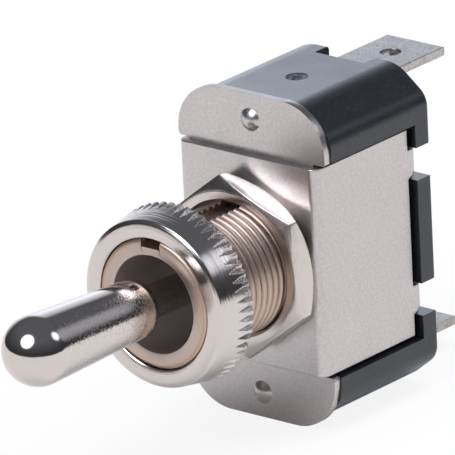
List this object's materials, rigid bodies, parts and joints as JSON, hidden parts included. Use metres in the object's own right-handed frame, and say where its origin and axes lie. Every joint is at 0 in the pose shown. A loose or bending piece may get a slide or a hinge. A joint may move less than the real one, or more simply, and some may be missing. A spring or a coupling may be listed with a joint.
{
  "type": "panel toggle switch",
  "caption": "Panel toggle switch: a bat handle lever in a threaded bushing with a hex nut and a knurled nut, a strapped black base and two blade terminals.",
  "frame": {"origin": "where the bushing's axis meets the front face of the strap, which is the face the hex nut bears against", "axes": "-Y along the bushing's axis out through the panel to the lever, +Y back to the terminals, +Z along the body towards the keyway and the upper terminal, +X across the body"},
  "size_m": [0.0166, 0.0564, 0.03],
  "materials": {
    "bright_nickel": "bright nickel plate over turned brass",
    "satin_nickel": "satin nickel plate over steel sheet",
    "black_phenolic": "moulded black phenolic, semi-matte",
    "tinned_brass": "dull tin plate over brass sheet",
    "rivet_brass": "plain headed brass",
    "phosphor_bronze": "rolled strip",
    "contact_silver": "fine silver, dull",
    "spring_steel": "drawn steel wire and pin stock",
    "nylon": "natural moulded nylon",
    "fibre_sheet": "grey vulcanised fibre"
  },
  "bodies": {
    "housing": {"strap": "satin_nickel", "cover_plate": "satin_nickel", "base": "black_phenolic", "insulator": "fibre_sheet", "bushing": "bright_nickel", "pivot_pin": "spring_steel", "upper_terminal": "tinned_brass", "lower_terminal": "tinned_brass", "upper_terminal_rivet": "rivet_brass", "lower_terminal_rivet": "rivet_brass", "rocker_cradle": "tinned_brass", "cradle_rivet": "rivet_brass", "fixed_contact": "contact_silver", "stop_rivet": "rivet_brass"},
    "toggle_lever": {"lever": "bright_nickel", "toggle_spring": "spring_steel"},
    "lever_plunger": {"plunger": "nylon"},
    "rocker": {"contact_rocker": "phosphor_bronze", "moving_contact": "contact_silver"},
    "panel_hex_nut": {"hex_nut": "bright_nickel"},
    "panel_ring_nut": {"ring_nut": "bright_nickel"}
  },
  "joints": [
    {"name": "lever_toggle", "type": "hinge", "parent": "housing", "child": "toggle_lever", "pos_m": [0, -0.0016, 0], "axis": [-1, 0, 0], "range_deg": [-14.5, 11.5]},
    {"name": "rocker_tilt", "type": "hinge", "parent": "housing", "child": "rocker", "pos_m": [0, 0.00995, 0], "axis": [1, 0, 0], "range_deg": [-10.1, 8]},
    {"name": "plunger_slide", "type": "slide", "parent": "toggle_lever", "child": "lever_plunger", "axis": [0, 0.9997, -0.0262], "range_m": [-0.0009, 0], "stiffness_N_per_m": 3200, "springref_m": 0.0003, "deforming": ["toggle_spring"]},
    {"name": "hex_nut_turn", "type": "hinge", "parent": "housing", "child": "panel_hex_nut", "pos_m": [0, 0, 0], "axis": [0, -1, 0], "continuous": true},
    {"name": "ring_nut_turn", "type": "hinge", "parent": "housing", "child": "panel_ring_nut", "pos_m": [0, 0, 0], "axis": [0, -1, 0], "continuous": true}
  ],
  "couplings": [
    {"joint": "rocker_tilt", "follows": "lever_toggle", "ratio": 0.69231}
  ]
}
